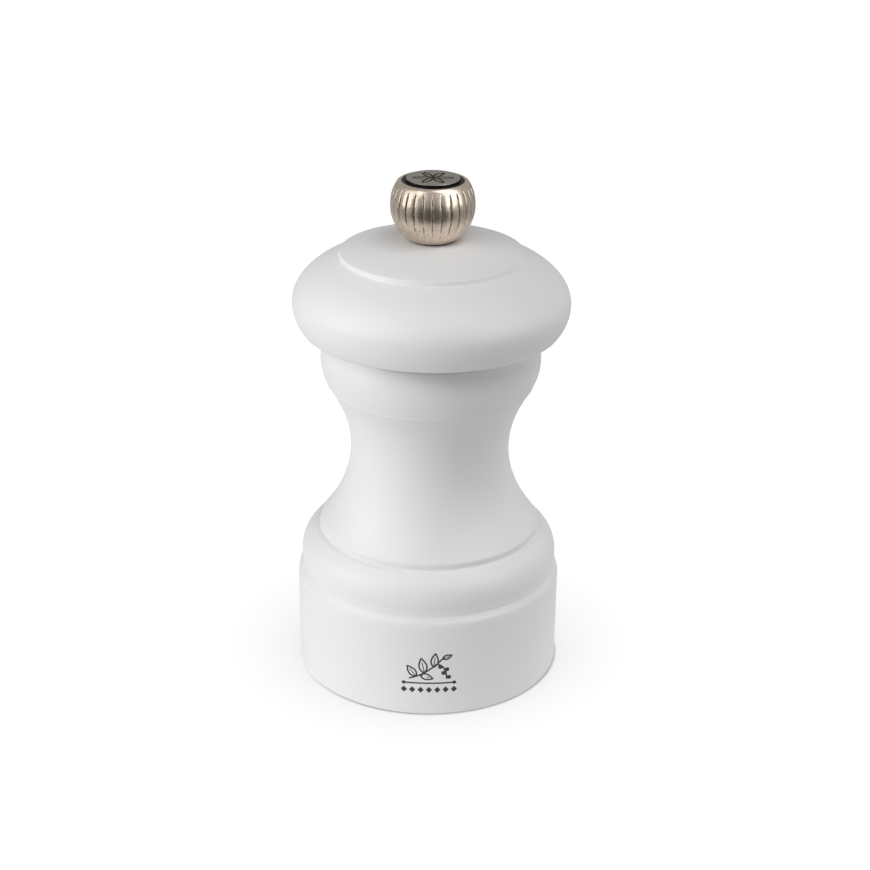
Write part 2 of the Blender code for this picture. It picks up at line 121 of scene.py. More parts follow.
def rounded(corners, steps=6):
    """A closed outline through the corners, with those that give a radius rounded off."""
    points = []
    for index, corner in enumerate(corners):
        here = Vector(corner[:2])
        if len(corner) == 2:
            points.append(corner)
            continue
        before = Vector(corners[index - 1][:2]) - here
        after = Vector(corners[(index + 1) % len(corners)][:2]) - here
        reach = corner[2] / tan(before.angle(after) / 2)
        reach = min(reach, 0.49 * before.length, 0.49 * after.length)
        first = here + before.normalized() * reach
        last = here + after.normalized() * reach
        for step in range(steps + 1):
            share = step / steps
            point = first.lerp(here, share).lerp(here.lerp(last, share), share)
            points.append((point.x, point.y))
    return points


def evenly(points, longest):
    """The same line with its long stretches divided, so that no edge is longer than longest."""
    divided = []
    for first, last in zip(points, points[1:]):
        count = max(1, ceil(hypot(last[0] - first[0], last[1] - first[1]) / longest))
        for part in range(count):
            share = part / count
            divided.append((first[0] + (last[0] - first[0]) * share,
                            first[1] + (last[1] - first[1]) * share))
    return divided + [points[-1]]


def climb(low, high, longest):
    """Even heights from low to high, no further apart than longest."""
    count = ceil((high - low) / longest)
    return [low + (high - low) * part / count for part in range(count + 1)]


def washer(inner, outer, bottom, top, edge=0.12):
    return rounded([(inner, bottom, edge), (outer, bottom, edge), (outer, top, edge),
                    (inner, top, edge)], 3)


def clamp(value):
    return max(0.0, min(1.0, value))


def square_reach(angle, half, corner):
    """Distance from the axis to the side of a square whose corners are cut off."""
    return min(half / max(abs(cos(angle)), abs(sin(angle))), corner)


def thread_cut(angle, height, pitch, depth, low, high):
    """Depth of a thread that runs out at both of its ends."""
    share = (height / pitch - angle / (2 * pi)) % 1
    return depth * abs(2 * share - 1) * clamp(min(height - low, high - height) / pitch)


# --- meshes ---

def finish_mesh(name, bm, materials, sharp=30, worn=None):
    """Make an object of a closed mesh: faces outwards, smooth but for its sharp edges."""
    bmesh.ops.recalc_face_normals(bm, faces=bm.faces)
    bmesh.ops.scale(bm, verts=bm.verts, vec=(MM, MM, MM))
    mesh = bpy.data.meshes.new(name)
    bm.to_mesh(mesh)
    bm.free()
    for material in materials:
        mesh.materials.append(material)
    if worn:
        mesh.attributes.new("worn", "FLOAT", "POINT").data.foreach_set("value", worn)
    mesh.shade_smooth()
    mesh.set_sharp_from_angle(angle=radians(sharp))
    piece = bpy.data.objects.new(name, mesh)
    bpy.context.scene.collection.objects.link(piece)
    return piece


def turned(name, outline, materials, steps=SMALL_STEPS, place=None, turn=None, worn=None,
           slot=None, closed=True, sharp=30):
    """Turn an outline about +Z. A closed outline makes a ring; an open one is capped.

    place(index, angle, radius, height) may move a point in its own half-plane and
    turn(index, angle) round the axis. worn(index, angle, radius, height) is its share of dark
    wear. slot(index) picks the material of the faces above a row.
    """
    bm = bmesh.new()
    rows, shades = [], []
    for index, (radius, height) in enumerate(outline):
        row = []
        for step in range(steps):
            angle = 2 * pi * step / steps
            reach, rise = place(index, angle, radius, height) if place else (radius, height)
            facing = turn(index, angle) if turn else angle
            row.append(bm.verts.new((reach * cos(facing), reach * sin(facing), rise)))
            if worn:
                shades.append(worn(index, angle, radius, height))
        rows.append(row)
    bands = list(zip(rows, rows[1:]))
    if closed:
        bands.append((rows[-1], rows[0]))
    else:
        bm.faces.new(rows[0])
        bm.faces.new(rows[-1])
    for index, (lower, upper) in enumerate(bands):
        for step in range(steps):
            after = (step + 1) % steps
            face = bm.faces.new((lower[step], lower[after], upper[after], upper[step]))
            face.material_index = slot(index) if slot else 0
    return finish_mesh(name, bm, materials, sharp, shades)


def slab(name, outline, low, high, materials):
    """A flat outline of (x, y) points with a thickness along z."""
    bm = bmesh.new()
    floor = bm.faces.new([bm.verts.new((x, y, low)) for x, y in outline])
    raised = bmesh.ops.extrude_face_region(bm, geom=[floor])["geom"]
    verts = [item for item in raised if isinstance(item, bmesh.types.BMVert)]
    bmesh.ops.translate(bm, verts=verts, vec=(0, 0, high - low))
    return finish_mesh(name, bm, materials)


def cylinders(places, radius, bottom, top, materials):
    """One upright cylinder at each (x, y), as a tool for combine."""
    bm = bmesh.new()
    for x, y in places:
        matrix = Matrix.Translation((x, y, (bottom + top) / 2))
        bmesh.ops.create_cone(bm, cap_ends=True, segments=48, radius1=radius, radius2=radius,
                              depth=top - bottom, matrix=matrix)
    return finish_mesh("tool", bm, materials)


def combine(piece, tool, operation):
    """Cut the tool out of the piece, or join it on, and remove the tool."""
    modifier = piece.modifiers.new("combine", "BOOLEAN")
    modifier.operation = operation
    modifier.solver = "EXACT"
    modifier.material_mode = "TRANSFER"
    modifier.object = tool
    depsgraph = bpy.context.evaluated_depsgraph_get()
    mesh = bpy.data.meshes.new_from_object(piece.evaluated_get(depsgraph))
    piece.modifiers.clear()
    piece.data = mesh
    mesh.shade_smooth()
    mesh.set_sharp_from_angle(angle=radians(30))
    bpy.data.objects.remove(tool)


def drill(piece, screw, radius, bottom, top, material):
    """Cut the holes for the three screws of that name."""
    places = [middle(f"{screw}_{number}") for number in SCREWS]
    combine(piece, cylinders(places, radius, bottom, top, [material]), "DIFFERENCE")


def stand_in(piece, body, node):
    """The piece rides on a body and replaces its CAD node."""
    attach(piece, body)
    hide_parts(node)


# --- materials ---

def new_material(name, colour, roughness, metallic=0.0, **sockets):
    """A Principled material. Extra sockets are given by name, with _ for a space."""
    material = bpy.data.materials.new(name)
    material.use_nodes = True
    shader = material.node_tree.nodes["Principled BSDF"]
    shader.inputs["Base Color"].default_value = (*colour, 1.0)
    shader.inputs["Roughness"].default_value = roughness
    shader.inputs["Metallic"].default_value = metallic
    for socket, value in sockets.items():
        shader.inputs[socket.replace("_", " ")].default_value = value
    return material, material.node_tree, shader


def object_coordinates(tree, stretch=(1, 1, 1)):
    """Coordinates fixed to the piece, in millimetres, times a factor for each axis."""
    source = tree.nodes.new("ShaderNodeTexCoord").outputs["Object"]
    mapping = tree.nodes.new("ShaderNodeMapping")
    mapping.inputs["Scale"].default_value = [factor / MM for factor in stretch]
    tree.links.new(source, mapping.inputs["Vector"])
    return mapping.outputs["Vector"]


def lathe_coordinates(tree):
    """(distance from the axis, height) in millimetres, for marks that run round a piece."""
    split = tree.nodes.new("ShaderNodeSeparateXYZ")
    tree.links.new(object_coordinates(tree), split.inputs["Vector"])
    flat = tree.nodes.new("ShaderNodeCombineXYZ")
    tree.links.new(split.outputs["X"], flat.inputs["X"])
    tree.links.new(split.outputs["Y"], flat.inputs["Y"])
    length = tree.nodes.new("ShaderNodeVectorMath")
    length.operation = "LENGTH"
    tree.links.new(flat.outputs["Vector"], length.inputs[0])
    joined = tree.nodes.new("ShaderNodeCombineXYZ")
    tree.links.new(length.outputs["Value"], joined.inputs["X"])
    tree.links.new(split.outputs["Z"], joined.inputs["Y"])
    return joined.outputs["Vector"]


def noise_texture(tree, scale, detail=3.0, stretch=(1, 1, 1), lathe=False):
    """Noise with that many bumps to a millimetre; lathe makes rings of it."""
    node = tree.nodes.new("ShaderNodeTexNoise")
    node.inputs["Scale"].default_value = scale
    node.inputs["Detail"].default_value = detail
    vector = lathe_coordinates(tree) if lathe else object_coordinates(tree, stretch)
    tree.links.new(vector, node.inputs["Vector"])
    return node.outputs["Fac"]


def between(tree, factor, low, high, start=0.0, end=1.0):
    """Map a factor from start..end to low..high, clamped."""
    node = tree.nodes.new("ShaderNodeMapRange")
    node.inputs["From Min"].default_value = start
    node.inputs["From Max"].default_value = end
    node.inputs["To Min"].default_value = low
    node.inputs["To Max"].default_value = high
    tree.links.new(factor, node.inputs["Value"])
    return node.outputs["Result"]


def merge(tree, operation, first, second):
    """Two sockets' values put together by a Math operation."""
    node = tree.nodes.new("ShaderNodeMath")
    node.operation = operation
    tree.links.new(first, node.inputs[0])
    tree.links.new(second, node.inputs[1])
    return node.outputs["Value"]


def blend_colours(tree, factor, first, second):
    """Colour that runs from first to second with the factor; each is a colour or a socket."""
    node = tree.nodes.new("ShaderNodeMix")
    node.data_type = "RGBA"
    tree.links.new(factor, node.inputs["Factor"])
    for socket, colour in ((node.inputs[6], first), (node.inputs[7], second)):
        if isinstance(colour, bpy.types.NodeSocket):
            tree.links.new(colour, socket)
        else:
            socket.default_value = (*colour, 1.0)
    return node.outputs[2]


def add_bump(tree, shader, layers):
    """Stack bump layers on a shader: (height, depth in millimetres, strength)."""
    normal = None
    for height, depth, strength in layers:
        node = tree.nodes.new("ShaderNodeBump")
        node.inputs["Distance"].default_value = depth * MM
        node.inputs["Strength"].default_value = strength
        tree.links.new(height, node.inputs["Height"])
        if normal:
            tree.links.new(normal, node.inputs["Normal"])
        normal = node.outputs["Normal"]
    tree.links.new(normal, shader.inputs["Normal"])


def white_lacquer():
    """Satin white lacquer that lets a little of the wood's grain show as relief."""
    material, tree, shader = new_material("white_lacquer", (0.83, 0.83, 0.83), 0.48)
    tone = noise_texture(tree, 0.06, 2, (1, 1, 0.3))
    colour = blend_colours(tree, tone, (0.82, 0.82, 0.825), (0.845, 0.845, 0.845))
    tree.links.new(colour, shader.inputs["Base Color"])
    smears = noise_texture(tree, 0.24)
    tree.links.new(between(tree, smears, 0.44, 0.52, 0.3, 0.7), shader.inputs["Roughness"])
    grain = noise_texture(tree, 0.9, 3, (1, 1, 0.06))
    skin = noise_texture(tree, 1.4, 2)
    add_bump(tree, shader, [(grain, 0.02, 0.25), (skin, 0.01, 0.3)])
    return material


def bare_beech():
    """Unfinished turned beech, as left inside the bore and on the spigot."""
    material, tree, shader = new_material("bare_beech", (0.62, 0.43, 0.27), 0.78)
    broad = noise_texture(tree, 0.09, 4, (1, 1, 0.15))
    flecks = noise_texture(tree, 1.5, 3, (1, 1, 0.12))
    wood = blend_colours(tree, broad, (0.53, 0.35, 0.2), (0.7, 0.5, 0.33))
    dark = between(tree, flecks, 0.0, 0.55, 0.55, 0.75)
    tree.links.new(blend_colours(tree, dark, wood, (0.36, 0.22, 0.12)),
                   shader.inputs["Base Color"])
    rings = noise_texture(tree, 2.5, 1, lathe=True)
    add_bump(tree, shader, [(flecks, 0.05, 0.5), (rings, 0.03, 0.3)])
    return material


def antique_nickel(name, bright, dull):
    """Warm worn nickel with patches of grime, and dark patina where the mesh is worn."""
    material, tree, shader = new_material(name, bright, 0.3, 1.0)
    mottle = noise_texture(tree, 0.9, 5)
    speckle = noise_texture(tree, 5.0, 4)
    metal = blend_colours(tree, between(tree, mottle, 0, 1, 0.35, 0.65), dull, bright)
    attribute = tree.nodes.new("ShaderNodeAttribute")
    attribute.attribute_name = "worn"
    ragged = merge(tree, "MULTIPLY", attribute.outputs["Fac"],
                   between(tree, speckle, 0.6, 1.4, 0.3, 0.7))
    grime = merge(tree, "MULTIPLY", between(tree, mottle, 0, 1, 0.4, 0.62),
                  between(tree, noise_texture(tree, 2.6, 5), 0.42, 0, 0.34, 0.54))
    patina = merge(tree, "MAXIMUM", between(tree, ragged, 0, 1, 0.15, 0.7), grime)
    tree.links.new(blend_colours(tree, patina, metal, (0.06, 0.04, 0.03)),
                   shader.inputs["Base Color"])
    tree.links.new(merge(tree, "MAXIMUM", between(tree, mottle, 0.34, 0.25, 0.35, 0.65),
                         between(tree, patina, 0.3, 0.6)), shader.inputs["Roughness"])
    streaks = noise_texture(tree, 2.4, 3, (1, 1, 0.15))
    add_bump(tree, shader, [(streaks, 0.03, 0.35), (speckle, 0.02, 0.45)])
    return material


def black_inlay():
    """Matt black plastic ring, slightly dusty."""
    material, tree, shader = new_material("black_inlay", (0.012, 0.012, 0.013), 0.4,
                                          Specular_IOR_Level=0.2)
    dust = noise_texture(tree, 1.2)
    tree.links.new(between(tree, dust, 0.34, 0.5, 0.3, 0.7), shader.inputs["Roughness"])
    tree.links.new(blend_colours(tree, dust, (0.006, 0.006, 0.007), (0.014, 0.013, 0.012)),
                   shader.inputs["Base Color"])
    add_bump(tree, shader, [(dust, 0.01, 0.3)])
    return material


def print_black():
    """Pad-printed ink, a little thin in places."""
    material, tree, shader = new_material("print_black", (0.025, 0.025, 0.026), 0.5)
    thin = noise_texture(tree, 6.0)
    tree.links.new(blend_colours(tree, between(tree, thin, 0, 1, 0.4, 0.8),
                                 (0.02, 0.02, 0.021), (0.07, 0.07, 0.073)),
                   shader.inputs["Base Color"])
    tree.links.new(between(tree, thin, 0.42, 0.6, 0.3, 0.7), shader.inputs["Roughness"])
    return material


def worked_metal(name, colour, roughness, marks, stretch=(1, 1, 1), lathe=False, relief=0.012):
    """Metal with tool marks, that many to a millimetre, over a slow change of tarnish."""
    material, tree, shader = new_material(name, colour, roughness, 1.0)
    tarnish = noise_texture(tree, 0.35, 4)
    dull = [value * 0.72 for value in colour]
    tree.links.new(blend_colours(tree, between(tree, tarnish, 0, 1, 0.35, 0.65), dull, colour),
                   shader.inputs["Base Color"])
    lines = noise_texture(tree, marks, 3, stretch, lathe)
    tree.links.new(between(tree, lines, roughness + 0.1, roughness - 0.08, 0.3, 0.7),
                   shader.inputs["Roughness"])
    scratches = noise_texture(tree, 4.0, 4)
    add_bump(tree, shader, [(lines, relief, 0.5), (scratches, relief / 2, 0.3)])
    return material


# --- wooden pieces ---

def body_outside():
    """From the foot up to the neck's top edge."""
    drum_crest = arc((DRUM_RADIUS - 1.0, 18.5), (1.0, 1.9), 0, 62, 8)
    shoulder = arc((19.23, 23.5), (6.12, 6.12), 0, 48, 14)
    hollow = []
    waist, waist_height, waist_curve = 15.5, 46.0, 20.3
    for height in climb(30.6, 59.5, 0.7):
        hollow.append((waist + (height - waist_height) ** 2 / (2 * waist_curve), height))
    bead = arc((16.25, 64.6), (5.0, 7.2), -36, 36, 14)
    return ([(DRUM_RADIUS, 0.0, 0.35)] + drum_crest
            + [(25.15, 20.95, 0.6), (25.15, 22.2, 0.8)] + shoulder
            + [(22.6, 28.75, 0.6), (21.65, 29.1, 0.5), (21.62, 30.2, 0.9)] + hollow
            + [(20.0, 59.8, 0.3), (20.2, 60.1, 0.4)] + bead
            + [(19.5, 68.3, 0.1), (19.3, 68.9, 0.2), (19.2, NECK_TOP, 0.3)])


def body_inside():
    """Down the hopper's bore and the socket to the recess in the foot."""
    bevel, hopper_bottom = 0.9, 27.6
    return [(HOPPER_RADIUS + bevel, NECK_TOP, 0.3), (HOPPER_RADIUS, NECK_TOP - bevel, 0.3),
            (HOPPER_RADIUS, hopper_bottom, 0.2), (SOCKET_RADIUS, SOCKET_TOP, 0.2),
            (SOCKET_RADIUS, SOCKET_BOTTOM, 0.2), (OUTLET_RADIUS, SOCKET_BOTTOM, 0.3),
            (OUTLET_RADIUS, 0.0, 0.3)]


def make_body(lacquer, beech):
    outline = evenly(rounded(body_outside() + body_inside()), 2.0)

    def finish(index):
        radius, height = outline[index]
        in_bore = radius < HOPPER_RADIUS + 1.6
        in_socket = radius < OUTLET_RADIUS + 0.1 and height < SOCKET_TOP + 2
        return 1 if in_bore or in_socket else 0

    body = turned("mill_body", outline, [lacquer, beech], FINE_STEPS, slot=finish)
    holes_top = 15.0
    drill(body, "fixing_screw", BASE_SCREW_HOLE, SOCKET_BOTTOM - 1, holes_top, beech)
    stand_in(body, "base", "body")


def head_outline():
    """Head from the lip up to the shaft's hole, then down the bore and up the spigot."""
    widest = 76.0
    gap = 0.3
    spigot, under = HOPPER_RADIUS - gap, NECK_TOP + gap
    lip = arc((HEAD_RADIUS - 8.05, widest), (8.05, 8.05), -38, 0, 12)
    crown = arc((HEAD_RADIUS - 27.3, widest), (27.3, 12.0), 0, 46, 24)[1:]
    dome = bow((17.1, 85.9), (5.0, HEAD_TOP), 36.0, 12)
    return ([(24.35, under, 0.3)] + lip + crown + [(17.7, 84.85, 0.3), (17.5, 85.75, 0.45)]
            + dome + [(SHAFT_BORE, HEAD_TOP, 0.15), (SHAFT_BORE, SPIGOT_BOTTOM, 0.2),
                      (spigot, SPIGOT_BOTTOM, 0.6), (spigot, under, 0.2)])


def make_head(lacquer, beech):
    outline = evenly(rounded(head_outline()), 2.0)

    def finish(index):
        radius, height = outline[index]
        return 1 if radius < SHAFT_BORE + 0.6 or height < NECK_TOP else 0

    head = turned("mill_head", outline, [lacquer, beech], FINE_STEPS, slot=finish)
    holes_top = 65.5
    drill(head, "driver_plate_screw", HEAD_SCREW_HOLE, SPIGOT_BOTTOM - 1, holes_top, beech)
    stand_in(head, "head_assembly", "head")


# --- printed mark: a pepper sprig over a line and a row of lozenges ---

INK_SPAN = (-0.03, 0.012)         # how far the ink goes into the lacquer and stands out of it
LINE_WIDTH = 0.31
MARK_CENTRE = 0.5                 # how far the mark stands to the right of the middle


def on_drum(across, up, lift):
    angle = (across + MARK_CENTRE) / DRUM_RADIUS
    reach = DRUM_RADIUS + lift
    return reach * sin(angle), -reach * cos(angle), up


def ink_line(bm, points, loop=False, width=LINE_WIDTH):
    """A thin closed ribbon on the drum through flat (across, up) points."""
    rows = []
    last = len(points) - 1
    for index, (across, up) in enumerate(points):
        before = points[index - 1] if index or loop else points[index]
        after = points[(index + 1) % len(points)] if index < last or loop else points[index]
        along = Vector((after[0] - before[0], after[1] - before[1])).normalized() * width / 2
        row = []
        for side, lift in ((1, 0), (-1, 0), (-1, 1), (1, 1)):
            row.append(bm.verts.new(on_drum(across - side * along.y, up + side * along.x,
                                            INK_SPAN[lift])))
        rows.append(row)
    joins = list(zip(rows, rows[1:]))
    if loop:
        joins.append((rows[-1], rows[0]))
    else:
        bm.faces.new(rows[0])
        bm.faces.new(rows[-1])
    for first, second in joins:
        for corner in range(4):
            after = (corner + 1) % 4
            bm.faces.new((first[corner], first[after], second[after], second[corner]))


def ink_patch(bm, points):
    """A filled shape on the drum."""
    layers = []
    for lift in INK_SPAN:
        layers.append([bm.verts.new(on_drum(across, up, lift)) for across, up in points])
        bm.faces.new(layers[-1])
    for index in range(len(points)):
        after = (index + 1) % len(points)
        bm.faces.new((layers[0][index], layers[0][after], layers[1][after], layers[1][index]))


def ink_leaf(bm, base, direction, length):
    """Outline of a pointed leaf with its midrib."""
    along = Vector((cos(radians(direction)), sin(radians(direction))))
    side = Vector((-along.y, along.x))
    half_width = length * 0.23
    edges = []
    for sign in (1, -1):
        edge = []
        for step in range(13):
            share = step / 12
            bulge = half_width * sin(pi * share ** 0.8)
            point = Vector(base) + along * length * share + side * sign * bulge
            edge.append((point.x, point.y))
        edges.append(edge)
    ink_line(bm, edges[0] + edges[1][-2:0:-1], loop=True)
    tip = Vector(base) + along * length * 0.7
    ink_line(bm, [base, (tip.x, tip.y)], width=0.18)


def curve_through(start, pull, end, steps=16):
    """Points on a bent line from start to end, drawn towards pull."""
    points = []
    for step in range(steps + 1):
        share = step / steps
        point = Vector(start).lerp(Vector(pull), share).lerp(
            Vector(pull).lerp(Vector(end), share), share)
        points.append((point.x, point.y))
    return points


def make_mark(ink):
    bm = bmesh.new()
    ink_line(bm, curve_through((-3.9, 8.0), (-0.4, 9.0), (2.6, 12.4)))
    for base, direction, length in (((-2.5, 8.5), 128, 2.9), ((-0.9, 9.3), 102, 3.3),
                                    ((0.9, 10.6), 84, 3.0), ((2.6, 12.4), 20, 1.9),
                                    ((-1.7, 8.8), -18, 2.6)):
        ink_leaf(bm, base, direction, length)
    stalk = curve_through((1.5, 11.2), (3.3, 10.9), (3.4, 7.9))
    ink_line(bm, stalk)
    for number in (6, 9, 12, 15):
        across, up = stalk[number]
        side = 0.46 if number % 2 else -0.46
        ink_patch(bm, arc((across + side, up), (0.44, 0.44), 0, 345, 23))
    rule, reach = 7.0, 4.9
    ink_line(bm, evenly([(-reach, rule), (reach, rule)], 0.3))
    for end in (-reach, reach):
        ink_patch(bm, arc((end, rule), (0.4, 0.36), 0, 345, 23))
    spacing, half_width, half_height = 1.62, 0.62, 0.68
    for number in range(-3, 4):
        ink_patch(bm, arc((number * spacing, 5.5), (half_width, half_height), 0, 270, 3))
    mark = finish_mesh("printed_mark", bm, [ink])
    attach(mark, "base")


# --- knob ---

def spread(angle):
    """Bunch the columns of the knob's mesh together at its grooves."""
    return angle - 0.7 * sin(FLUTES * angle) / FLUTES


def along_flutes(height, fade):
    """1 along the grooves, and down to 0 over the last stretch at either end."""
    return clamp(min(height - FLUTE_BOTTOM, FLUTE_TOP - height) / fade)


def groove_share(angle, radius, height):
    """1 in the middle of a groove, 0 between grooves and beyond their ends."""
    half_width = 0.1
    pitch = 2 * pi / FLUTES
    across = ((angle / pitch + 0.5) % 1 - 0.5) * pitch * radius
    waver = 0.12 * noise.noise(Vector((cos(angle) * 5, sin(angle) * 5, height * 0.8)))
    return along_flutes(height, 0.6) * exp(-((across + waver) / half_width) ** 2)


def knob_outline():
    """Ball from its foot to the rim, down the cup, then the pocket for the threaded bush."""
    centre = 94.9
    ball = []
    for height in climb(KNOB_BOTTOM + 0.12, KNOB_TOP - 0.3, 0.14):
        ball.append((sqrt(KNOB_RADIUS ** 2 - (height - centre) ** 2), height))
    cup_radius, cup_floor, pocket_radius, pocket_top = 5.9, 98.4, 4.2, 97.6
    rim = [(6.35, KNOB_TOP - 0.03, 0.2), (cup_radius, KNOB_TOP, 0.12),
           (cup_radius, cup_floor, 0.05), (1.5, cup_floor), (1.5, pocket_top),
           (pocket_radius, pocket_top), (pocket_radius, KNOB_BOTTOM, 0.05),
           (4.5, KNOB_BOTTOM, 0.1)]
    return len(ball), rounded(ball + rim, 4)


def make_knob(nickel):
    ball_rows, outline = knob_outline()
    groove_depth, land_bulge, hammer = 0.16, 0.06, 0.02

    def place(index, angle, radius, height):
        if index >= ball_rows:
            return radius, height
        angle = spread(angle)
        dent = hammer * noise.noise(Vector((cos(angle) * 16, sin(angle) * 16, height * 2.2)))
        valley = land_bulge * along_flutes(height, 1.2) * (1 + cos(FLUTES * angle)) / 2
        groove = groove_depth * groove_share(angle, radius, height)
        return radius - valley - groove - abs(dent), height

    def worn(index, angle, radius, height):
        if index >= ball_rows:
            return 0.0
        angle = spread(angle)
        pits = noise.noise(Vector((cos(angle) * 30, sin(angle) * 30, height * 4)))
        breaks = noise.noise(Vector((cos(angle) * 9, sin(angle) * 9, height * 1.3)))
        kept = clamp(0.75 + breaks) * (0.35 + 0.65 * clamp((height - 90.5) / 3))
        return groove_share(angle, radius, height) * kept + clamp(pits * 1.6 - 0.6) * 0.4

    knob = turned("knob_ball", outline, [nickel], FLUTES * 18, place=place, worn=worn,
                  turn=lambda index, angle: spread(angle), sharp=50)
    stand_in(knob, "knob_assembly", "knob")


def make_knob_fittings(black, brass, steel):
    _, bottom, top = extent("knob_ring")
    ring = washer(DISC_RADIUS + 0.02, 5.88, bottom, top)
    inlay = turned("knob_inlay", ring, [black], MIDDLE_STEPS)
    stand_in(inlay, "knob_assembly", "knob_ring")

    radius, bottom, top = extent("knob_insert")
    bore, pitch = 2.7, 0.8
    inside = [(bore, height) for height in climb(bottom + 0.1, top - 0.1, 0.1)]
    outline = inside + [(radius - 0.2, top), (radius, top - 0.2), (radius, bottom + 0.2),
                        (radius - 0.2, bottom)]

    def place(index, angle, reach, height):
        if index < len(inside):
            return reach + thread_cut(angle, height, pitch, 0.25, bottom, top), height
        return reach, height

    bush = turned("knob_bush", outline, [brass], place=place)
    stand_in(bush, "knob_assembly", "knob_insert")

    radius, bottom, top = extent("knob_washer")
    disc = turned("knob_washer_ring", washer(3.0, radius, bottom, top, 0.08), [steel])
    stand_in(disc, "knob_bearing", "knob_washer")


def rosette_distance(x, y, petal):
    """Distance to the nearest of six crossing arcs that draw a flower inside a circle."""
    nearest = petal
    for number in range(6):
        place = petal * cos(number * pi / 3), petal * sin(number * pi / 3)
        nearest = min(nearest, abs(hypot(x - place[0], y - place[1]) - petal))
    return nearest


def make_knob_disc(nickel, black):
    """Metal disc with a flower engraved in its top and blackened sides."""
    petal, half_line, depth = 3.9, 0.22, 0.12
    edge = evenly(rounded([(DISC_RADIUS, DISC_BOTTOM), (DISC_RADIUS, MILL_TOP, 0.12),
                           (0.02, MILL_TOP)], 5)[:-1], 0.4)
    flat = edge[-1][0]
    rings = 110
    outline = edge + [(flat * (1 - (ring + 1) / (rings + 0.4)), MILL_TOP)
                      for ring in range(rings)]

    def cut(reach, angle, height):
        if height < MILL_TOP or reach > petal * 1.01:
            return 0.0
        distance = rosette_distance(reach * cos(angle), reach * sin(angle), petal)
        return clamp((half_line * 1.5 - distance) / half_line)

    def place(index, angle, reach, height):
        return reach, height - depth * cut(reach, angle, height)

    def worn(index, angle, reach, height):
        return cut(reach, angle, height)

    disc = turned("knob_disc_engraved", outline, [nickel, black], 420, place=place, worn=worn,
                  closed=False, sharp=50, slot=lambda index: index < 4)
    stand_in(disc, "knob_assembly", "knob_disc")


# --- shaft and what rides on it ---

def make_drive_shaft(steel):
    """Square bar with a threaded stub below its shoulder and a threaded pin above it."""
    half, bottom, top = extent("drive_shaft")
    shoulder, square_top = 8.2, 86.3
    stub, pin = 1.9, 2.4
    low_thread = [(stub, height) for height in climb(bottom + 0.3, shoulder - 0.3, 0.1)]
    bar = [(half - 0.2, shoulder), (half, shoulder + 0.2), (half, square_top - 0.3),
           (half - 0.3, square_top)]
    high_thread = [(pin, height) for height in climb(square_top, top - 0.5, 0.1)]
    outline = ([(stub - 0.3, bottom)] + low_thread + [(stub, shoulder)] + bar + high_thread
               + [(pin - 0.5, top)])
    bar_start = 2 + len(low_thread)

    def place(index, angle, radius, height):
        if bar_start <= index < bar_start + len(bar):
            return square_reach(angle, radius, radius * 1.36), height
        if radius == stub:
            return radius - thread_cut(angle, height, 0.7, 0.2, bottom, shoulder), height
        if radius == pin:
            return radius - thread_cut(angle, height, 0.8, 0.25, square_top, top), height
        return radius, height

    shaft = turned("shaft_bar", outline, [steel], 64, place=place)
    stand_in(shaft, "spindle", "drive_shaft")


def tooth(angle, count, steep=0.9):
    """Sawtooth from 0 to 1 round the axis, with one steep side."""
    share = angle * count / (2 * pi) % 1
    return share / steep if share < steep else (1 - share) / (1 - steep)


def make_rotor(steel):
    """Cone with slanting teeth: coarse ones above crack the corns, fine ones below grind."""
    wide, bottom, top = extent("rotor")
    teeth, levels, slant = 12, 24, radians(30)
    fine_depth, coarse_depth = 0.5, 1.3
    cone = []
    for level in range(levels + 1):
        share = level / levels
        cone.append((wide + (ROTOR_NARROW - wide) * share, bottom + (top - bottom) * share))
    outline = cone + [(KEY_HALF, top), (KEY_HALF, bottom)]

    def place(index, angle, radius, height):
        if index > levels:
            return square_reach(angle, KEY_HALF, KEY_CORNER), height
        coarse = clamp(index / levels * 2.5 - 0.75)
        fine_cut = fine_depth * tooth(angle, 2 * teeth, 0.8)
        coarse_cut = coarse_depth * tooth(angle, teeth)
        return radius - fine_cut - (coarse_cut - fine_cut) * coarse, height

    def turn(index, angle):
        return angle + slant * index / levels if index <= levels else angle

    rotor = turned("rotor_cone", outline, [steel], teeth * 20, place=place, turn=turn, sharp=24)
    stand_in(rotor, "spindle", "rotor")


def make_stator(steel):
    """Ring with slanting teeth inside, and a funnel above them."""
    outer, bottom, top = extent("stator")
    throat, mouth, gap = 14.0, 12.6, 1.0
    wide, rotor_bottom, rotor_top = extent("rotor")
    teeth, levels, slant = 24, 16, radians(-20)
    fine_depth, coarse_depth = 0.4, 0.63

    def inner(height):
        share = (height - rotor_bottom) / (rotor_top - rotor_bottom)
        return wide + (ROTOR_NARROW - wide) * share + gap

    heights = climb(bottom, throat, (throat - bottom) / levels)
    cone = [(inner(height), height) for height in heights]
    funnel = [(cone[-1][0] + (mouth - cone[-1][0]) * share, throat + (top - throat) * share)
              for share in (0.15, 0.5, 1.0)]
    outline = cone + funnel + [(outer - 0.3, top), (outer, top - 0.3), (outer, bottom + 0.3),
                               (outer - 0.3, bottom)]
    toothed = len(cone)

    def place(index, angle, radius, height):
        if index >= toothed:
            return radius, height
        rise = index / toothed
        fine_cut = fine_depth * tooth(angle, 2 * teeth, 0.8)
        coarse_cut = coarse_depth * tooth(angle, teeth)
        cut = fine_cut * (1 - rise) + coarse_cut * rise
        return radius + cut * clamp((toothed - index) / 3), height

    def turn(index, angle):
        if index < toothed + len(funnel):
            return angle + slant * min(index, levels) / levels
        return angle

    stator = turned("stator_ring", outline, [steel], teeth * 14, place=place, turn=turn,
                    sharp=24)
    stand_in(stator, "base", "stator")


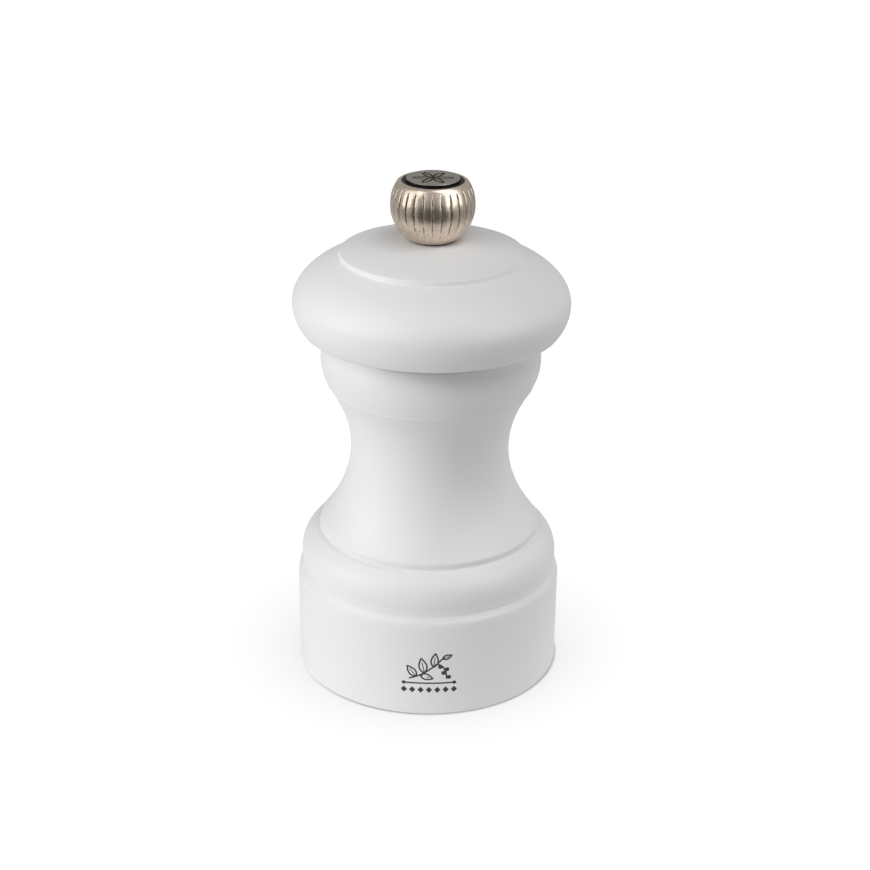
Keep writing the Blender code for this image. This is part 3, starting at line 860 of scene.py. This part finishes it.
def keyed_washer(name, node, steel, steps=SMALL_STEPS):
    """Round washer whose square hole keys it to the shaft."""
    radius, bottom, top = extent(node)
    outline = [(KEY_HALF, bottom)] + washer(KEY_HALF, radius, bottom, top)[4:-4]
    outline.append((KEY_HALF, top))

    def place(index, angle, reach, height):
        if reach == KEY_HALF:
            return square_reach(angle, KEY_HALF, KEY_CORNER), height
        return reach, height

    return turned(name, outline, [steel], steps, place=place)


def make_keyed_washers(steel):
    """The cup under the bracket that the spring bears on, and the stop above it."""
    cup = keyed_washer("spring_cup", "spring_seat", steel)
    stand_in(cup, "spring_carrier", "spring_seat")
    stop = keyed_washer("stop_washer", "shaft_stop_ring", steel)
    stand_in(stop, "spindle", "shaft_stop_ring")


def make_rotor_fastening(washer_steel, nut_steel):
    radius, bottom, top = extent("rotor_washer")
    bore = 2.2
    disc = turned("rotor_washer_ring", washer(bore, radius, bottom, top), [washer_steel])
    stand_in(disc, "spindle", "rotor_washer")

    corner, bottom, top = extent("rotor_nut")
    side = corner * cos(pi / 6)
    thread = [(bore, height) for height in climb(top - 0.1, bottom + 0.1, -0.1)]
    outline = [(side, bottom), (corner, bottom + 0.3), (corner, top - 0.3), (side, top)] + thread

    def place(index, angle, radius, height):
        if radius == bore:
            return radius - 0.2 + thread_cut(angle, height, 0.7, 0.2, bottom, top), height
        flat = side / cos(angle % (pi / 3) - pi / 6)
        return min(flat, radius), height

    nut = turned("rotor_hex_nut", outline, [nut_steel], 120, place=place)
    stand_in(nut, "spindle", "rotor_nut")


def make_spring(steel):
    """Open coil with flattened end turns, between the rotor and the spring seat."""
    _, bottom, top = extent("spring")
    coil_radius, wire, turns, flat_turns = 4.75, 0.45, 3.5, 0.4
    steps, sides = 168, 12
    bm = bmesh.new()
    rings = []
    for step in range(steps + 1):
        turn = turns * step / steps
        climbed = clamp((turn - flat_turns) / (turns - 2 * flat_turns))
        angle = 2 * pi * turn
        out = Vector((cos(angle), sin(angle), 0))
        centre = out * coil_radius
        centre.z = bottom + wire + (top - bottom - 2 * wire) * climbed
        ring = []
        for side in range(sides):
            around = 2 * pi * side / sides
            offset = out * cos(around) + Vector((0, 0, sin(around)))
            ring.append(bm.verts.new(centre + offset * wire))
        rings.append(ring)
    bm.faces.new(rings[0])
    bm.faces.new(rings[-1])
    for first, second in zip(rings, rings[1:]):
        for side in range(sides):
            after = (side + 1) % sides
            bm.faces.new((first[side], first[after], second[after], second[side]))
    spring = finish_mesh("spring_coil", bm, [steel], 60)
    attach(spring, "spring_carrier")
    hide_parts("spring")
    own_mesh(spring)


# --- fixed pieces of the mechanism ---

def make_guide_bracket(steel):
    """Strip bent into an arch that stands on the stator, with an eye for the shaft."""
    reach, foot, top = extent("guide_bracket")
    thickness, width, eye, hole = 1.2, 6.0, 5.6, 4.0
    inner, under = reach - thickness, top - thickness
    arch = rounded([(-reach, foot, 0.15), (-inner, foot, 0.15), (-inner, under, 0.9),
                    (inner, under, 0.9), (inner, foot, 0.15), (reach, foot, 0.15),
                    (reach, top, 2.1), (-reach, top, 2.1)])
    bracket = slab("guide_arch", arch, -width / 2, width / 2, [steel])
    bracket.data.transform(Matrix.Rotation(pi / 2, 4, "X"))
    combine(bracket, cylinders([(0, 0)], eye, under, top, [steel]), "UNION")
    combine(bracket, cylinders([(0, 0)], hole, under - 1, top + 1, [steel]), "DIFFERENCE")
    stand_in(bracket, "base", "guide_bracket")


def make_plates(steel):
    radius, bottom, top = extent("fixing_plate")
    inner = 11.9
    plate = turned("fixing_ring", washer(inner, radius, bottom, top), [steel], MIDDLE_STEPS)
    drill(plate, "fixing_screw", BASE_SCREW_HOLE, bottom - 1, top + 1, steel)
    stand_in(plate, "base", "fixing_plate")

    _, bottom, top = extent("driver_plate")
    plate = keyed_washer("driver_disc", "driver_plate", steel, MIDDLE_STEPS)
    drill(plate, "driver_plate_screw", HEAD_SCREW_HOLE, bottom - 1, top + 1, steel)
    stand_in(plate, "head_assembly", "driver_plate")


def make_screw(name, node, body, head, shank, steel):
    """Domed screw with a slot and a wood thread, head down. head is its radius and height."""
    low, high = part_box(node)
    bottom, top = low.z / MM, high.z / MM
    head_radius, head_height = head
    neck = bottom + head_height
    dome = arc((0, neck - head_height * 0.35), (head_radius, head_height * 0.65), -75, 0, 8)
    thread = [(shank, height) for height in climb(neck, top - 1.2, 0.1)]
    outline = dome + [(head_radius, neck)] + thread + [(shank * 0.2, top)]
    pitch = shank * 0.8

    def place(index, angle, radius, height):
        if radius == shank:
            return radius - thread_cut(angle, height, pitch, shank * 0.28, neck, top), height
        return radius, height

    screw = turned(name, outline, [steel], 48, place=place, closed=False)
    half_slot, reach = 0.25, head_radius * 1.5
    slot = [(-reach, -half_slot), (reach, -half_slot), (reach, half_slot), (-reach, half_slot)]
    depth = head_height * 0.45
    combine(screw, slab("tool", slot, bottom - 1, bottom + depth, [steel]), "DIFFERENCE")
    x, y = middle(node)
    screw.location = (x * MM, y * MM, 0)
    bpy.context.view_layer.update()
    stand_in(screw, body, node)


# --- stage, lights and camera ---

def light_path(tree, output):
    """1 for the rays that the output names, 0 for the others."""
    return tree.nodes.new("ShaderNodeLightPath").outputs[output]


def choose(tree, factor, no, yes):
    """The first socket's value where the factor is 0, and the second's where it is 1."""
    node = between(tree, factor, 0.0, 1.0).node
    tree.links.new(no, node.inputs["To Min"])
    tree.links.new(yes, node.inputs["To Max"])
    return node.outputs["Result"]


def make_stage_panel(name, corners, material):
    mesh = bpy.data.meshes.new(name)
    mesh.from_pydata([Vector(corner) * MM for corner in corners], [], [(0, 1, 2, 3)])
    mesh.materials.append(material)
    panel = bpy.data.objects.new(name, mesh)
    bpy.context.scene.collection.objects.link(panel)
    return panel


def openness(tree, reach):
    """How clear the floor is of what stands within reach: 1 in the open, less by the foot."""
    node = tree.nodes.new("ShaderNodeAmbientOcclusion")
    node.inputs["Distance"].default_value = reach * MM
    return node.outputs["AO"]


def floor_white_and_painted_shadow(tree, distance, across):
    """White for the camera, with painted shadow: a painted soft shadow round the mill
    and a painted dark line where it touches the floor.

    The painted line fades out on the left, where the strong light comes from.
    """
    # painted soft shadow: greyer where the floor is less open round the mill
    soft = between(tree, openness(tree, 30), 0.79, 0.97, 0.5, 0.97)
    # painted dark contact line at the foot, faded out on the lit left side
    line = merge(tree, "MAXIMUM", between(tree, openness(tree, 1.5), 0.3, 1.0, 0.5, 0.8),
                 between(tree, across, 0.85, 0.3, -26, -12))
    near = merge(tree, "MINIMUM", soft, line)
    return merge(tree, "MAXIMUM", near, between(tree, distance, 0.0, 1.0, 40, 100))


def floor_bounce(tree, distance, across):
    """Light that the floor sends up: most of it near the mill and on the left."""
    return merge(tree, "ADD", between(tree, distance, 0.37, 0.12, 60, 130),
                 between(tree, across, 0.12, -0.06, -120, 120))


def make_floor():
    """Pale floor that bounces light up, and that the camera sees as paper white with painted
    shadow round the mill.
    """
    bouncing, white = (0.5, 0.5, 0.5), (0.1, 0.1, 0.1)
    material, tree, shader = new_material("floor_white_and_painted_shadow", bouncing, 0.9,
                                          Specular_IOR_Level=0.0)
    shader.inputs["Emission Color"].default_value = (1, 1, 1, 1)
    place = object_coordinates(tree)
    away = tree.nodes.new("ShaderNodeVectorMath")
    away.operation = "LENGTH"
    tree.links.new(place, away.inputs[0])
    split = tree.nodes.new("ShaderNodeSeparateXYZ")
    tree.links.new(place, split.inputs["Vector"])
    distance, across = away.outputs["Value"], split.outputs["X"]
    seen = light_path(tree, "Is Camera Ray")
    # glow: light sent up onto the mill, and for the camera white with painted shadow
    glow = choose(tree, seen, floor_bounce(tree, distance, across),
                  floor_white_and_painted_shadow(tree, distance, across))
    tree.links.new(glow, shader.inputs["Emission Strength"])
    tree.links.new(blend_colours(tree, seen, bouncing, white), shader.inputs["Base Color"])
    half = 4000
    make_stage_panel("floor", [(-half, -half, 0), (half, -half, 0), (half, half, 0),
                               (-half, half, 0)], material)


def make_card(name, glow, azimuth, distance, half_width, bottom, top):
    """Upright card that only shows as a reflection; azimuth 0 is the front."""
    material, _, shader = new_material(name, (0.01, 0.01, 0.01), 0.9,
                                       Specular_IOR_Level=0.0, Emission_Strength=glow)
    shader.inputs["Emission Color"].default_value = (1, 1, 1, 1)
    turn = radians(azimuth)
    middle_x, middle_y = distance * sin(turn), -distance * cos(turn)
    side_x, side_y = half_width * cos(turn), half_width * sin(turn)
    corners = []
    for side, height in ((-1, bottom), (1, bottom), (1, top), (-1, top)):
        corners.append((middle_x + side * side_x, middle_y + side * side_y, height))
    card = make_stage_panel(name, corners, material)
    card.visible_camera = False
    card.visible_diffuse = False
    card.visible_shadow = False


def make_cards():
    """Dark and bright cards that give the metal its reflections."""
    make_card("card_front_dark", 0.03, 0, 120, 150, 1, 88)
    make_card("card_front_high", 0.06, 0, 121, 62, 88, 118)
    make_card("card_left_grey", 0.25, -75, 160, 100, 1, 84)
    make_card("card_right_grey", 0.25, 75, 160, 100, 1, 84)
    make_card("card_left_bright", 2.0, -72, 400, 105, 80, 330)
    make_card("card_left_high", 2.5, -47, 400, 100, 330, 640)
    make_card("card_right_bright", 2.4, 60, 400, 160, 125, 430)


def make_softbox(name, azimuth, elevation, power, reflected):
    """A square soft light a metre from the mill's middle; reflected shows it in the metal."""
    size, aimed_at = 0.6, Vector((0, 0, 50 * MM))
    light = bpy.data.lights.new(name, "AREA")
    light.shape = "SQUARE"
    light.size = size
    light.energy = power
    lamp = bpy.data.objects.new(name, light)
    lamp.visible_glossy = reflected
    turn, rise = radians(azimuth), radians(elevation)
    away = Vector((sin(turn) * cos(rise), -cos(turn) * cos(rise), sin(rise)))
    lamp.location = aimed_at + away
    lamp.rotation_euler = away.to_track_quat("Z", "Y").to_euler()
    bpy.context.scene.collection.objects.link(lamp)


def make_lights():
    """Strong light from the left and weaker light from the right; azimuth 0 is the front."""
    make_softbox("left_low", -80, 8, 4.6, False)
    make_softbox("left_front", -50, 35, 3.9, False)
    make_softbox("above_front", 0, 52, 1.65, False)
    make_softbox("above_right", 60, 62, 3.0, True)
    make_softbox("right_low", 110, 8, 3.9, False)
    make_softbox("back_low", 150, 8, 1.1, False)


def make_world():
    """A room that the camera sees as white paper and the metal as grey walls."""
    world = bpy.data.worlds.new("studio")
    world.use_nodes = True
    tree = world.node_tree
    background = tree.nodes["Background"]
    background.inputs["Color"].default_value = (1, 1, 1, 1)
    walls = between(tree, light_path(tree, "Is Glossy Ray"), 0.02, 0.4)
    tree.links.new(merge(tree, "MAXIMUM", walls, light_path(tree, "Is Camera Ray")),
                   background.inputs["Strength"])
    bpy.context.scene.world = world


def make_camera():
    """Long lens, a little above the mill, leaning less than a degree."""
    data = bpy.data.cameras.new("camera")
    data.sensor_width = 36.0
    data.lens = 78.76
    data.clip_start = 0.01
    data.clip_end = 20.0
    camera = bpy.data.objects.new("camera", data)
    pitch, lean = radians(90 - 24.19), radians(0.79)
    aim = Matrix.Rotation(pitch, 3, "X") @ Matrix.Rotation(lean, 3, "Z")
    camera.rotation_euler = aim.to_euler()
    camera.location = Vector((1.0, -341.0, 200.9)) * MM
    bpy.context.scene.collection.objects.link(camera)
    bpy.context.scene.camera = camera


def make_mechanism():
    washer_steel = worked_metal("zinc_washer", (0.62, 0.63, 0.64), 0.3, 5.0, lathe=True)
    shaft_steel = worked_metal("drawn_steel", (0.55, 0.56, 0.57), 0.28, 3.0, (1, 1, 0.03))
    burr_steel = worked_metal("hardened_steel", (0.2, 0.2, 0.21), 0.42, 2.2, (1, 1, 0.3))
    plate_steel = worked_metal("rolled_steel", (0.58, 0.59, 0.6), 0.32, 4.0, (0.06, 1, 1))
    screw_steel = worked_metal("zinc_screw", (0.6, 0.61, 0.64), 0.3, 4.0, lathe=True)
    nut_steel = worked_metal("bright_nut", (0.56, 0.56, 0.57), 0.34, 3.0, (1, 0.1, 1))
    bracket_steel = worked_metal("bent_strip", (0.53, 0.54, 0.55), 0.35, 3.5, (0.08, 1, 1))
    spring_steel = worked_metal("spring_wire", (0.42, 0.42, 0.43), 0.3, 2.5)
    make_drive_shaft(shaft_steel)
    make_rotor(burr_steel)
    make_stator(burr_steel)
    make_rotor_fastening(washer_steel, nut_steel)
    make_keyed_washers(washer_steel)
    make_spring(spring_steel)
    make_guide_bracket(bracket_steel)
    make_plates(plate_steel)
    for number in SCREWS:
        make_screw(f"fixing_screw_body_{number}", f"fixing_screw_{number}", "base",
                   (1.9, 0.9), 1.0, screw_steel)
        make_screw(f"driver_screw_body_{number}", f"driver_plate_screw_{number}",
                   "head_assembly", (1.5, 0.8), 0.7, screw_steel)
    return washer_steel


def make_scene():
    lacquer, beech = white_lacquer(), bare_beech()
    make_body(lacquer, beech)
    make_head(lacquer, beech)
    make_mark(print_black())
    black = black_inlay()
    make_knob(antique_nickel("knob_metal", (0.89, 0.77, 0.645), (0.71, 0.595, 0.485)))
    make_knob_disc(antique_nickel("disc_metal", (0.52, 0.47, 0.42), (0.42, 0.38, 0.34)), black)
    washer_steel = make_mechanism()
    brass = worked_metal("brass", (0.72, 0.54, 0.26), 0.3, 4.0, lathe=True)
    make_knob_fittings(black, brass, washer_steel)
    make_floor()
    make_cards()
    make_lights()
    make_world()
    make_camera()
    bpy.context.scene.view_settings.view_transform = "Standard"


make_scene()
